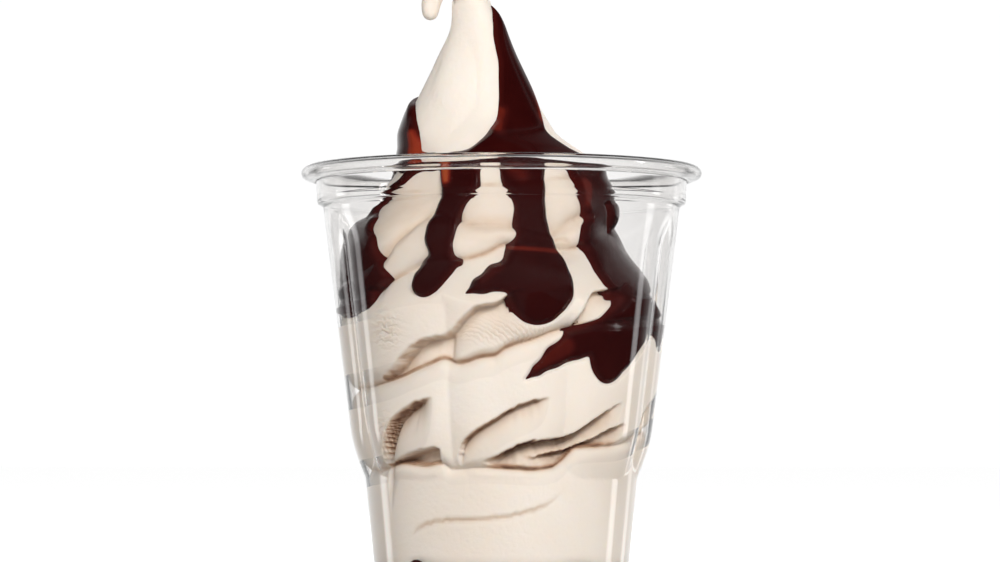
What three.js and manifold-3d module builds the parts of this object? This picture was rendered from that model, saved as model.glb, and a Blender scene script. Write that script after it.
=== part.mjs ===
// A soft-serve sundae in its clear plastic cup: a thin fluted cup with a rolled rim, a coiled
// body of vanilla ice cream pressed against the wall and drawn out to a hooked tip, chocolate
// sauce run down over it, and a shallow layer of the same sauce in the bottom of the cup.
// Millimetres, +Z up, front towards -Y, origin in the middle of the foot.
import * as THREE from 'three';
import { mergeVertices } from 'three/addons/utils/BufferGeometryUtils.js';
import Module from 'manifold-3d';

// ---- cup ----
const CUP_HEIGHT = 105.5;
const RIM_RADIUS = 47.5;
const BAND_RADIUS = 43.7;
const BAND_BOTTOM = 96.9;
const BAND_TOP = 101.4;
const WALL = 0.9;
const FOOT_RADIUS = 28.9;
const LOWER_SLOPE = 0.1;
const STEP_HEIGHT = 31.9;
const UPPER_RADIUS = 42.2;
const UPPER_SLOPE = 0.126;
const UPPER_TOP = 95.5;
const PANELS = 8;
const PANEL_TURN = 2.5;
const FLUTE_DEPTH = 1.3;
const BASE_UNDER = 2.2;
const BASE_TOP = 3.3;
const SIDES = 48;
const GAP = 0.35;

// ---- fill ----
const POOL_LEVEL = 9.2;
const SAUCE_THICK = 1.9;
const RIDGE_STEP = 35;

const DEG = Math.PI / 180;
const clamp = (v, a, b) => Math.min(b, Math.max(a, v));
const wrap = (a) => ((((a + 180) % 360) + 360) % 360) - 180;
const step = (a, b, v) => {
  const t = clamp((v - a) / (b - a), 0, 1);
  return t * t * (3 - 2 * t);
};
const bell = (v, mid, width) => Math.exp(-(((v - mid) / width) ** 2));

// smooth curve through stations [x, y]
function curve(stations, at) {
  const last = stations.length - 1;
  const x = clamp(at, stations[0][0], stations[last][0]);
  let i = 0;
  while (i < last - 1 && x >= stations[i + 1][0]) i += 1;
  const rise = (k) => (stations[k + 1][1] - stations[k][1]) / (stations[k + 1][0] - stations[k][0]);
  const slope = (k) => {
    if (k === 0) return rise(0);
    if (k === last) return rise(last - 1);
    const a = rise(k - 1);
    const b = rise(k);
    return a * b <= 0 ? 0 : (2 * a * b) / (a + b);
  };
  const h = stations[i + 1][0] - stations[i][0];
  const t = (x - stations[i][0]) / h;
  return (
    (1 + 2 * t) * (1 - t) ** 2 * stations[i][1] +
    t * (1 - t) ** 2 * h * slope(i) +
    t * t * (3 - 2 * t) * stations[i + 1][1] -
    t * t * (1 - t) * h * slope(i + 1)
  );
}

// ---- cup wall: cushioned panels that end in round-cornered scallops on a plain lower part ----
function cupRadius(phi, z) {
  const low = FOOT_RADIUS + LOWER_SLOPE * z;
  const width = 360 / PANELS;
  const from = (((phi - PANEL_TURN + width / 2) % width) + width) % width;
  const across = Math.abs(from / (width / 2) - 1);
  const fade = 1 - step(86, 94, z);
  const flute = FLUTE_DEPTH * fade * across ** 2.2;
  const corner = clamp(across - 0.45, 0, 1) / 0.55;
  const bottom = STEP_HEIGHT + 6 * (1 - Math.sqrt(clamp(1 - corner * corner, 0, 1)));
  const up = clamp((z - bottom) / 11, 0, 1);
  const high = UPPER_RADIUS - UPPER_SLOPE * (UPPER_TOP - z) - flute;
  return low + (high - low) * (1 - (1 - up) ** 1.7);
}

const WALL_LEVELS = [0.8, STEP_HEIGHT, 33, 34.5, 36.5, 39, 43, 86, 90, 94.6];
const angleOf = (i) => PANEL_TURN - 22.5 + (360 * i) / SIDES;

// inner radius of the faceted wall in the direction of the given side
function innerRadius(phi, z) {
  const last = WALL_LEVELS.length - 1;
  let i = 0;
  while (i < last - 1 && z >= WALL_LEVELS[i + 1]) i += 1;
  const a = WALL_LEVELS[i];
  const b = WALL_LEVELS[i + 1];
  const t = clamp((z - a) / (b - a), 0, 1);
  return cupRadius(phi, a) * (1 - t) + cupRadius(phi, b) * t - WALL;
}

// point of a level ring at an angle from the front
const around = (phi, r, z) => [r * Math.sin(phi * DEG), -r * Math.cos(phi * DEG), z];

// closed body from rings of SIDES points, ends drawn together at one point each
function ringBody(rings, start, end) {
  const pos = [start];
  for (const ring of rings) pos.push(...ring);
  pos.push(end);
  const n = rings[0].length;
  const tip = pos.length - 1;
  const index = [];
  for (let j = 0; j < n; j += 1) {
    const k = (j + 1) % n;
    index.push(0, 1 + k, 1 + j);
    for (let r = 0; r < rings.length - 1; r += 1) {
      const a = 1 + r * n;
      const b = a + n;
      // each four-cornered face is split from its lower corner j to its upper corner k
      if (rings[r + 1][0][2] >= rings[r][0][2]) index.push(a + j, a + k, b + k, a + j, b + k, b + j);
      else index.push(a + j, a + k, b + j, a + k, b + k, b + j);
    }
    const top = 1 + (rings.length - 1) * n;
    index.push(tip, top + j, top + k);
  }
  const geometry = new THREE.BufferGeometry();
  geometry.setAttribute('position', new THREE.Float32BufferAttribute(pos.flat(), 3));
  geometry.setIndex(index);
  return geometry;
}

function ringAt(radius, z) {
  const ring = [];
  for (let i = 0; i < SIDES; i += 1) {
    const phi = angleOf(i);
    const r = typeof radius === 'number' ? radius : radius(phi, z);
    ring.push(around(phi, r, z));
  }
  return ring;
}

function cupGeometry() {
  const rings = [
    ringAt(FOOT_RADIUS - 6.3, BASE_UNDER),
    ringAt(FOOT_RADIUS - 4.6, 0),
    ringAt(FOOT_RADIUS - 0.9, 0),
    ...WALL_LEVELS.map((z) => ringAt(cupRadius, z)),
    ringAt(UPPER_RADIUS + 0.5, BAND_BOTTOM - 1),
    ringAt(BAND_RADIUS, BAND_BOTTOM),
    ringAt(BAND_RADIUS, BAND_TOP),
    ringAt(BAND_RADIUS + 1.4, BAND_TOP + 0.9),
    ringAt(RIM_RADIUS - 0.5, BAND_TOP + 1.5),
    ringAt(RIM_RADIUS, CUP_HEIGHT - 1.6),
    ringAt(RIM_RADIUS - 0.8, CUP_HEIGHT - 0.5),
    ringAt(RIM_RADIUS - 2, CUP_HEIGHT),
    ringAt(BAND_RADIUS + 0.2, CUP_HEIGHT - 0.5),
    ringAt(BAND_RADIUS - WALL, CUP_HEIGHT - 2),
    ringAt(BAND_RADIUS - WALL, BAND_BOTTOM - 0.1),
    ringAt(UPPER_RADIUS - 0.6, BAND_BOTTOM - 1.2),
    ...[...WALL_LEVELS].reverse().slice(0, -1).map((z) => ringAt(innerRadius, z)),
    ringAt(innerRadius, BASE_TOP + 1.4),
    ringAt(FOOT_RADIUS - 3.4, BASE_TOP),
  ];
  return ringBody(rings, [0, 0, BASE_UNDER], [0, 0, BASE_TOP]);
}

// ---- sauce layer in the bottom: a wavy top that climbs the wall in low tongues ----
function poolTop(phi, share) {
  const wave =
    4.2 * bell(wrap(phi + 41), 0, 9) +
    3.2 * bell(wrap(phi - 37), 0, 14) +
    2.6 * bell(wrap(phi - 112), 0, 16) +
    3.4 * bell(wrap(phi + 150), 0, 18) +
    1.8 * bell(wrap(phi + 95), 0, 12);
  return POOL_LEVEL + wave * share * share;
}

function poolGeometry() {
  const bottom = BASE_TOP + GAP;
  const at = (share, lift) => {
    const ring = [];
    for (let i = 0; i < SIDES; i += 1) {
      const phi = angleOf(i);
      const z = poolTop(phi, share) + lift;
      ring.push(around(phi, share * (innerRadius(phi, z) - GAP), z));
    }
    return ring;
  };
  const rings = [
    ringAt(FOOT_RADIUS - 3.9, bottom),
    ringAt((phi, z) => innerRadius(phi, z) - GAP, bottom + 1.5),
    at(1, 0),
    at(0.82, 0),
    at(0.4, 0),
  ];
  return ringBody(rings, [0, 0, bottom], [0, 0, POOL_LEVEL]);
}

// ---- ice cream ----
// radius and sideways lean of the coil, by height
const BODY = [
  [0, 38], [40, 38.6], [50, 39], [60, 39.2], [68, 38.7], [75, 37.2], [83, 34.2], [90, 31.2],
  [97, 28.4], [104, 25.2], [109, 21.2], [114, 17.3], [121, 13.6], [130.6, 9.3], [137.7, 6.3],
  [144.8, 4.5],
];
const LEAN = [
  [0, 0], [69, 0], [78, -1.4], [86, -2.6], [96, -2.6], [104, -2.4], [109, -4], [114, -6],
  [121, -6], [130.6, -6], [137.7, -5.7], [144.8, -7],
];
// seams between the turns of the coil, height by angle from the front; each runs on into the next
const SEAMS = [
  [[-180, 33], [-60, 34.6], [-25, 34.8], [0, 34.2], [24, 35], [34, 38.5], [55, 43.3], [110, 47.5], [180, 49.5]],
  [[-180, 49.5], [-120, 51], [-52, 54.3], [-20, 59], [0, 60.8], [15, 64.6], [60, 68.5], [120, 70.5], [180, 71.5]],
  [[-180, 71.5], [-100, 73], [-52, 76], [-29, 81], [-10, 82.6], [6, 85.4], [60, 90], [120, 93], [180, 94]],
  [[-180, 94], [-90, 96], [0, 99.5], [60, 102.5], [120, 104.5], [180, 105.5]],
];
const SEAM_DEPTH = [2.2, 3, 2.2, 0.8];
const SEAM_WIDTH = [1.8, 2, 2.2, 2.2];
const seam = (k, phi) => curve(SEAMS[k], wrap(phi));

// furrows under the lips of the coil: stations [angle, height], depth, reach below, seam they stop at
const FURROWS = [
  { line: [[-58, 35.5], [-50, 37.2], [-40, 37.9], [-25.5, 38.9]], depth: 5, reach: 6, stop: 0, tail: 0.1 },
  { line: [[-12, 35], [6, 37.9], [17, 40.5], [30, 43], [40, 46.1], [57, 50.5]], depth: 5, reach: 6, stop: 0 },
  { line: [[-51.5, 36.3], [-50, 40.8], [-46, 44.4], [-40, 47.2], [-27, 50.6]], depth: 2.6, reach: 2.6 },
  { line: [[-17, 38.2], [-13.5, 41.2], [-7.3, 43.9], [3.1, 47.8], [20, 50.8]], depth: 2.6, reach: 2.6 },
  { line: [[-56, 55], [-51, 57.6], [-38.6, 61.8], [-29.7, 63.5], [-8, 65.4]], depth: 4.2, reach: 8, stop: 1 },
  { line: [[-21, 62.6], [-13.8, 67.8], [-6.8, 71.4], [0.9, 72.6], [12, 73.2]], depth: 3.6, reach: 8.5, stop: 1 },
  { line: [[13, 63.6], [20, 66.5], [30, 71.5], [44, 76.5], [56, 78]], depth: 3.4, reach: 7, stop: 1 },
];
// the same pattern goes on round the sides and the back
for (let j = 0; j < 6; j += 1) {
  for (const [k, first, high, depth, reach] of [[0, 70, 13, 2.6, 2.6], [1, 62, 11, 3.6, 7]]) {
    const start = first + (RIDGE_STEP + k) * j;
    const base = seam(k, start);
    const line = [0, 0.08, 0.3, 0.6, 1].map((g) => {
      const phi = start + 33 * g;
      return [phi, base + 0.6 + high * g ** 0.42 + (seam(k, phi) - base) * 0.35 * g];
    });
    FURROWS.push({ line, depth, reach, stop: k ? 1 : undefined });
  }
}

function furrowDepth(phi, z, furrow) {
  const { line, depth, reach, stop, tail = 0.3 } = furrow;
  const from = line[0][0];
  const to = line[line.length - 1][0];
  const at = wrap(phi - from) + from;
  const t = (at - from) / (to - from);
  if (t <= 0 || t >= 1) return 0;
  const below = curve(line, at) - z;
  let share = step(0, 0.1, t) * (1 - step(1 - tail, 1, t));
  share *= Math.exp(-((Math.max(below, 0) / reach) ** 1.5)) * step(-0.4, 0.8, below);
  if (stop !== undefined) share *= step(-0.2, 1, z - seam(stop, phi));
  return depth * share;
}

// sauce runs: stations [angle, height, half width]
const RUNS = [
  [[-50, 104.2, 2.6], [-58, 100.6, 2.6], [-70, 96.2, 2.8], [-72, 91.6, 5], [-69, 85.5, 7.5], [-66, 80, 7.8], [-66, 74.5, 6.5], [-70, 71, 2.5]],
  [[-18, 104.5, 3.6], [-18, 97.9, 4.1], [-19, 94, 3.9], [-20, 89, 3.8], [-19.5, 84, 2.8], [-20, 80.2, 3.2], [-23, 78, 3.4], [-27, 75.8, 2.6]],
  [[17, 106, 5.1], [18, 100.3, 4.6], [19, 96.7, 3.8], [18, 90, 4], [18, 84.5, 4.8], [17, 79.6, 7], [15, 76, 7.6], [13, 73, 6.3], [12, 70.2, 3]],
  [[11, 79.1, 3.2], [2, 77.2, 3.2], [-5, 75.4, 2], [-11, 74, 0.7]],
  [[59, 106, 6.1], [58, 100.7, 5.8], [57, 96.4, 4.4], [57, 92.2, 3.3], [52, 88.7, 3.3], [49, 84.8, 4.2], [48, 78, 4.4], [54, 73.6, 6.6], [58, 69, 9.4], [49, 63.7, 8.2], [42, 59.6, 6.2], [40, 56.4, 2.7]],
  [[40, 64.9, 3.9], [28, 62.3, 3.4], [18, 59.4, 2.5], [8, 54.8, 0.7]],
  [[62, 70, 6], [76, 69, 5.5], [79, 64.5, 3]],
];
// runs on the far side, alternately long and short
for (let j = 0; j < 4; j += 1) {
  const phi = 112 + 44 * j;
  const low = j % 2 ? 62 : 76;
  RUNS.push([[phi, 107, 5], [phi + 3, 97, 4], [phi + 2, 86, 4.2], [phi - 4, low + 6, 5.6], [phi - 8, low, 2.6]]);
}
// the sheet over the shoulder that feeds them, up to the tip on the right and a tongue on the left
const SHEET = [];
for (let j = 0; j <= 16; j += 1) {
  const phi = -60 + 24 * j;
  SHEET.push([phi, 105.8 + 1.3 * Math.sin(2.1 * phi * DEG), 2.9 + 0.9 * Math.cos(3.2 * phi * DEG)]);
}
RUNS.push(SHEET);
RUNS.push([[56, 141.5, 0.7], [51, 137, 1.4], [47, 131, 2.4], [42, 123.6, 4], [36, 117, 5.8], [28, 112, 8], [26, 107, 9]]);
RUNS.push([[-75, 120.4, 0.8], [-67, 116.9, 1.9], [-56, 112.6, 2.8], [-51, 108.4, 3.2], [-45, 105.2, 3.4]]);

const runAt = (run, t) => {
  const [phi, z, w] = [0, 1, 2].map((c) => curve(run.map((place, i) => [i, place[c]]), t));
  return { phi, z, w };
};

// how far inside a sauce run a place on the ice cream lies, in mm
function inSauce(phi, z, r) {
  let best = -20;
  for (const run of RUNS) {
    for (let i = 0; i < run.length - 1; i += 1) {
      const [a, b] = [run[i], run[i + 1]];
      const ax = wrap(phi - a[0]) * DEG * r;
      const bx = (b[0] - a[0]) * DEG * r;
      const t = clamp((ax * bx + (z - a[1]) * (b[1] - a[1])) / (bx * bx + (b[1] - a[1]) ** 2), 0, 1);
      const off = Math.hypot(ax - bx * t, z - a[1] - (b[1] - a[1]) * t);
      best = Math.max(best, a[2] + (b[2] - a[2]) * t - off);
    }
  }
  return best;
}

function iceRadius(phi, z) {
  let r = curve(BODY, z);
  for (let k = 0; k < 3; k += 1) {
    const low = seam(k, phi);
    const high = seam(k + 1, phi);
    const swell = [0.9, 1.4, 0.6][k];
    if (z > low && z < high) r += swell * Math.sin(Math.PI * ((z - low) / (high - low)) ** 0.7) ** 1.2;
  }
  r += 0.7 * step(84, 90, z) * (1 - step(104, 112, z)) * Math.sin((wrap(phi) * 8 + z * 9) * DEG);
  r += 3 * bell(z, 107, 3.5) * bell(wrap(phi - 115), 0, 45);
  r *= 1 + 0.05 * step(108, 118, z) * Math.cos(3 * (wrap(phi) + 1.5 * z) * DEG);
  if (z < 96) {
    const press = GAP + (SAUCE_THICK + GAP) * step(-1.5, 0.5, inSauce(phi, z, 36)) * step(50, 54, z);
    r = Math.min(r, innerRadius(phi, z) - press - curve(LEAN, z) * Math.sin(phi * DEG));
  }
  let depth = 0;
  for (let k = 0; k < 4; k += 1) {
    const above = z - seam(k, phi);
    depth = Math.max(depth, SEAM_DEPTH[k] * Math.exp(-Math.abs(above) / SEAM_WIDTH[k]));
  }
  for (const furrow of FURROWS) depth = Math.max(depth, furrowDepth(phi, z, furrow));
  return r - depth * (1 - step(106, 112, z));
}

// place on the ice cream, lifted outwards
function onIce(phi, z, lift = 0) {
  const [x, y] = around(phi, iceRadius(phi, z) + lift, z);
  return [x + curve(LEAN, z), y, z];
}

const ICE_LEVELS = [
  16.5, 19, 21, 22.5, 24.5, 27, STEP_HEIGHT, 33, 34.5, 36.5, 39, 41, 43, 45.5, 48, 50.5, 53, 55.5,
  58, 60.5, 63, 65.5, 68, 70.5, 73, 75.5, 78, 80.5, 83, 85.5, 88, 91, 94, 97, 100, 103, 106, 109,
  112, 116, 120.5, 125, 130, 135, 140, 144.8,
];
// the tip curls over to the left and hangs: centre x, z, radius and direction of the ring
const HOOK = [
  [-8.3, 148, 4.1, 35], [-10, 149.8, 3.7, 65], [-12.3, 150.2, 3.3, 100], [-14.6, 149, 2.9, 135],
  [-16.2, 146.3, 2.5, 163], [-16.8, 143.4, 2.2, 176], [-16.9, 141.2, 1.7, 180],
];

function iceGeometry(lift = 0) {
  const at = (share) => {
    const ring = [];
    for (let i = 0; i < SIDES; i += 1) {
      const phi = angleOf(i);
      const z = poolTop(phi, share) + GAP - lift;
      ring.push(around(phi, share * (innerRadius(phi, z) - GAP), z));
    }
    return ring;
  };
  const rings = [at(0.4), at(0.82), at(1)];
  for (const z of ICE_LEVELS) {
    const ring = [];
    for (let i = 0; i < SIDES; i += 1) ring.push(onIce(angleOf(i), z, lift));
    rings.push(ring);
  }
  for (const [x, z, radius, turn] of HOOK) {
    const ring = [];
    for (let i = 0; i < SIDES; i += 1) {
      const side = (radius + lift) * Math.sin(angleOf(i) * DEG);
      const front = -(radius + lift) * Math.cos(angleOf(i) * DEG);
      ring.push([x + side * Math.cos(turn * DEG), front, z + side * Math.sin(turn * DEG)]);
    }
    rings.push(ring);
  }
  const tip = HOOK[HOOK.length - 1];
  return ringBody(rings, [0, 0, POOL_LEVEL + GAP - lift], [tip[0], 0, tip[1] - 1.2 - lift]);
}

// ---- sauce on top: one thick strip for each run, fused, hollowed to fit the ice cream ----
function stripGeometry(run) {
  const rings = [];
  const count = run.length - 1;
  const ends = [];
  for (let i = 0; i <= count; i += 1) {
    const here = runAt(run, i);
    const a = runAt(run, Math.max(0, i - 0.2));
    const b = runAt(run, Math.min(count, i + 0.2));
    const r = curve(BODY, here.z);
    const along = [(b.phi - a.phi) * DEG * r, b.z - a.z];
    const size = Math.hypot(...along);
    const place = (share, lift) => {
      const side = here.w * share;
      const phi = here.phi + ((along[1] / size) * side) / (r * DEG);
      const z = here.z - (along[0] / size) * side;
      return onIce(phi, z, lift);
    };
    const full = GAP + SAUCE_THICK * Math.min(1, here.w / 2.4);
    const ring = [
      place(-1, GAP + 0.1),
      place(-0.55, full * 0.88),
      place(0.55, full * 0.88),
      place(1, GAP + 0.1),
      place(1, -1.6),
      place(-1, -1.6),
    ];
    rings.push(ring);
    if (i === 0 || i === count) ends.push(place(0, -0.4));
  }
  return ringBody(rings, ends[0], ends[1]);
}

const wasm = await Module();
wasm.setup();

function toSolid(geometry) {
  let g = geometry.clone();
  g.deleteAttribute('normal');
  g.deleteAttribute('uv');
  g = mergeVertices(g, 1e-4);
  const mesh = new wasm.Mesh({
    numProp: 3,
    vertProperties: new Float32Array(g.attributes.position.array),
    triVerts: new Uint32Array(g.index.array),
  });
  return new wasm.Manifold(mesh);
}

function toGeometry(solid) {
  const mesh = solid.getMesh();
  const geometry = new THREE.BufferGeometry();
  geometry.setAttribute('position', new THREE.BufferAttribute(new Float32Array(mesh.vertProperties), 3));
  geometry.setIndex(new THREE.BufferAttribute(new Uint32Array(mesh.triVerts), 1));
  return geometry;
}

// draws in every corner point whose loss moves the surface by less than the tolerance, in mm
function thinOut(geometry, tolerance) {
  const p = geometry.attributes.position.array;
  const point = (v) => new THREE.Vector3(p[3 * v], p[3 * v + 1], p[3 * v + 2]);
  const faces = [];
  const touching = new Map();
  const index = geometry.index.array;
  for (let i = 0; i < index.length; i += 3) {
    faces.push([index[i], index[i + 1], index[i + 2]]);
    for (const v of faces[faces.length - 1]) {
      if (!touching.has(v)) touching.set(v, new Set());
      touching.get(v).add(faces.length - 1);
    }
  }
  const normal = (f) => {
    const [a, b, c] = f.map(point);
    return b.sub(a).cross(c.sub(a));
  };
  const beside = (v) => new Set([...touching.get(v)].flatMap((f) => faces[f]).filter((w) => w !== v));
  const fits = (v, u) => {
    const shared = [...beside(v)].filter((w) => beside(u).has(w));
    if (shared.length !== 2) return false;
    const target = point(u);
    const short = point(v).distanceTo(target) < 0.03;
    for (const f of touching.get(v)) {
      const n = normal(faces[f]);
      const area = n.length();
      const dead = faces[f].includes(u);
      if (area > 1e-5) {
        const off = Math.abs(n.dot(target.clone().sub(point(v)))) / area;
        if (off > tolerance) return false;
      }
      if (dead) continue;
      // a face folded flat onto another would leave an open edge
      const rest = faces[f].filter((w) => w !== v);
      if ([...touching.get(u)].some((g) => rest.every((w) => faces[g].includes(w)))) return false;
      const after = normal(faces[f].map((w) => (w === v ? u : w)));
      if (after.length() < 1e-3 && !short) return false;
      if (area > 1e-4 && after.dot(n) < 0.4 * after.length() * area) return false;
    }
    return true;
  };
  for (let pass = 0; pass < 6; pass += 1) {
    let drawn = 0;
    for (const v of [...touching.keys()]) {
      if (!touching.has(v)) continue;
      const choices = [...beside(v)].sort((a, b) => point(v).distanceTo(point(a)) - point(v).distanceTo(point(b)));
      const u = choices.find((w) => fits(v, w));
      if (u === undefined) continue;
      for (const f of touching.get(v)) {
        if (faces[f].includes(u)) {
          for (const w of faces[f]) if (w !== v) touching.get(w).delete(f);
          faces[f] = [];
        } else {
          faces[f] = faces[f].map((w) => (w === v ? u : w));
          touching.get(u).add(f);
        }
      }
      touching.delete(v);
      drawn += 1;
    }
    if (!drawn) break;
  }
  const thinned = new THREE.BufferGeometry();
  thinned.setAttribute('position', geometry.attributes.position.clone());
  thinned.setIndex(faces.flat());
  return thinned;
}

// largest connected body of a geometry
function mainBody(geometry) {
  const parent = [...Array(geometry.attributes.position.count).keys()];
  const root = (v) => {
    while (parent[v] !== v) v = parent[v];
    return v;
  };
  const index = [...geometry.index.array];
  for (let i = 0; i < index.length; i += 3) {
    parent[root(index[i])] = root(index[i + 1]);
    parent[root(index[i + 1])] = root(index[i + 2]);
  }
  const size = new Map();
  for (const v of index) size.set(root(v), (size.get(root(v)) || 0) + 1);
  const [biggest] = [...size.entries()].sort((a, b) => b[1] - a[1])[0];
  const kept = [];
  for (let i = 0; i < index.length; i += 3) {
    if (root(index[i]) === biggest) kept.push(index[i], index[i + 1], index[i + 2]);
  }
  geometry.setIndex(kept);
  return geometry;
}

function sauceGeometry() {
  let sauce = null;
  for (const run of RUNS) {
    const strip = toSolid(stripGeometry(run));
    sauce = sauce ? sauce.add(strip) : strip;
  }
  sauce = sauce.subtract(toSolid(iceGeometry(GAP)));
  const room = [45, 60, 86, 90, 94.6].map((z) => ringAt((phi, h) => innerRadius(phi, h) - GAP, z));
  room.push(ringAt(40.5, 97), ringAt(40.5, 150));
  sauce = sauce.intersect(toSolid(ringBody(room, [0, 0, 45], [0, 0, 150])));
  return thinOut(mainBody(toGeometry(sauce)), 0.05);
}

const group = new THREE.Group();
function node(name, geometry, options) {
  const mesh = new THREE.Mesh(geometry, new THREE.MeshStandardMaterial(options));
  mesh.name = name;
  mesh.geometry.computeVertexNormals();
  group.add(mesh);
}

node('cup', cupGeometry(), { color: 0xeef1f2, roughness: 0.06, transparent: true, opacity: 0.35 });
node('base_sauce', poolGeometry(), { color: 0x2a0d08, roughness: 0.2 });
node('soft_serve', iceGeometry(), { color: 0xf1e8dc, roughness: 0.5 });
node('chocolate_sauce', sauceGeometry(), { color: 0x260805, roughness: 0.15 });

export default group;
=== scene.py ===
import math

import bmesh
import bpy
import numpy as np
from mathutils import Euler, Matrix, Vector


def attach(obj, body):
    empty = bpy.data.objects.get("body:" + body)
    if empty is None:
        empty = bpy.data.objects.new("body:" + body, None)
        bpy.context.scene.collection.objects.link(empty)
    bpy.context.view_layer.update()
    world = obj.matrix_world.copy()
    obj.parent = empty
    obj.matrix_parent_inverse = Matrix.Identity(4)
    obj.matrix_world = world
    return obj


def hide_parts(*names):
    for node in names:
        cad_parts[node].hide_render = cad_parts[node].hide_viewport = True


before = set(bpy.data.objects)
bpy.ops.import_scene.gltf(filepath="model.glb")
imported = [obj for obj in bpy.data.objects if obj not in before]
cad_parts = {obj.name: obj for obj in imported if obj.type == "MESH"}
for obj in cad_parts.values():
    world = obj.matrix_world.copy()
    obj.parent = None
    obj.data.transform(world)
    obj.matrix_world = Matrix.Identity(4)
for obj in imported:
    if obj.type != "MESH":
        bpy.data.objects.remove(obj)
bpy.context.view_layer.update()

# ---------------------------------------------------------------------------------------------
# Cup: one thin shell of clear moulded plastic. Eight cushioned panels stand out over a plain
# lower part and end there in round-cornered scallops; the band and the rolled rim are plain.
# ---------------------------------------------------------------------------------------------
MM = 0.001
WALL = 0.8
FOOT_RADIUS = 28.9
LOWER_SLOPE = 0.1
STEP_HEIGHT = 31.9
UPPER_RADIUS = 42.2
UPPER_SLOPE = 0.126
UPPER_TOP = 95.5
FLUTED_TOP = 95.0
PANELS = 8
PANEL_TURN = 2.5
FLUTE_DEPTH = 1.3
BAND_RADIUS = 43.7


def ease(low, high, value):
    """Smooth rise from 0 at low to 1 at high."""
    t = np.clip((value - low) / (high - low), 0.0, 1.0)
    return t * t * (3.0 - 2.0 * t)


def bell(value, middle, width):
    """Smooth hump, 1 at the middle."""
    return np.exp(-(((value - middle) / width) ** 2))


def wrap(angle):
    """Degrees from the front, between -180 and 180."""
    return (np.asarray(angle, float) + 180.0) % 360.0 - 180.0


def follow(stations, at):
    """Smooth curve through the stations (x, y), without overshoot."""
    xs = np.array([s[0] for s in stations], float)
    ys = np.array([s[1] for s in stations], float)
    x = np.clip(np.asarray(at, float), xs[0], xs[-1])
    rise = np.diff(ys) / np.diff(xs)
    slope = np.concatenate([rise[:1], np.zeros(len(xs) - 2), rise[-1:]])
    for k in range(1, len(xs) - 1):
        if rise[k - 1] * rise[k] > 0:
            slope[k] = 2.0 * rise[k - 1] * rise[k] / (rise[k - 1] + rise[k])
    i = np.clip(np.searchsorted(xs, x, side="right") - 1, 0, len(xs) - 2)
    h = xs[i + 1] - xs[i]
    t = (x - xs[i]) / h
    return (
        (1 + 2 * t) * (1 - t) ** 2 * ys[i]
        + t * (1 - t) ** 2 * h * slope[i]
        + t * t * (3 - 2 * t) * ys[i + 1]
        - t * t * (1 - t) * h * slope[i + 1]
    )


def cup_outside(phi, z):
    """Outer radius of the fluted wall at an angle from the front and a height."""
    low = FOOT_RADIUS + LOWER_SLOPE * z
    half = 180.0 / PANELS
    across = np.abs(((phi - PANEL_TURN + half) % (2 * half)) / half - 1.0)
    fade = 1.0 - ease(86.0, 94.0, z)
    flute = FLUTE_DEPTH * fade * across**3.0
    corner = np.clip(across - 0.45, 0.0, 1.0) / 0.55
    bottom = STEP_HEIGHT + 6.0 * (1.0 - np.sqrt(np.clip(1.0 - corner**2, 0.0, 1.0)))
    up = np.clip((z - bottom) / 11.0, 0.0, 1.0)
    high = UPPER_RADIUS - UPPER_SLOPE * (UPPER_TOP - z) - flute
    return low + (high - low) * (1.0 - (1.0 - up) ** 1.7)


def wound_piece(name, around, along, place, trim=None, **marks):
    """A sheet wound once round the upright axis. place gives the points in millimetres for the
    angle from the front and for the share of the way along; both ends close at one point.
    marks are named numbers that the material reads from the surface, given in the same way."""
    bm = bmesh.new()
    bmesh.ops.create_grid(bm, x_segments=around, y_segments=along, size=1.0)
    grid = np.array([v.co for v in bm.verts])
    share = grid[:, 0]
    # the columns stand closer together in front, where the folds show
    phi = 180.0 * (share - 0.11 * np.sin(np.pi * share))
    at = (grid[:, 1] + 1.0) / 2.0
    for v, point in zip(bm.verts, place(phi, at) * MM):
        v.co = point
    for mark, amount in marks.items():
        layer = bm.verts.layers.float.new(mark)
        for v, value in zip(bm.verts, amount(phi, at)):
            v[layer] = value
    if trim is not None:
        gone = trim(phi, at)
        bm.verts.ensure_lookup_table()
        away = [f for f in bm.faces if all(gone[v.index] for v in f.verts)]
        bmesh.ops.delete(bm, geom=away, context="FACES")
    bmesh.ops.remove_doubles(bm, verts=bm.verts, dist=2e-6)
    bmesh.ops.recalc_face_normals(bm, faces=bm.faces)
    mesh = bpy.data.meshes.new(name)
    bm.to_mesh(mesh)
    bm.free()
    for face in mesh.polygons:
        face.use_smooth = True
    piece = bpy.data.objects.new(name, mesh)
    bpy.context.scene.collection.objects.link(piece)
    return piece


# the way round the shell in section: (radius, height), None where the fluted wall gives the radius
SHELL = [
    (0.0, 2.2), (12.0, 2.2), (21.6, 2.2), (22.9, 1.9), (23.9, 0.6), (24.8, 0.05), (26.4, 0.0),
    (27.7, 0.15), (28.6, 0.9),
]
SHELL += [(None, float(z)) for z in (1.8, 5, 9, 14, 19, 24, 28, 30)]
SHELL += [(None, z) for z in np.arange(31.0, 45.0, 0.5)]
SHELL += [(None, float(z)) for z in (47, 50, 54, 59, 64, 69, 74, 79, 84)]
SHELL += [(None, z) for z in np.arange(86.0, 95.1, 1.0)]
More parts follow.
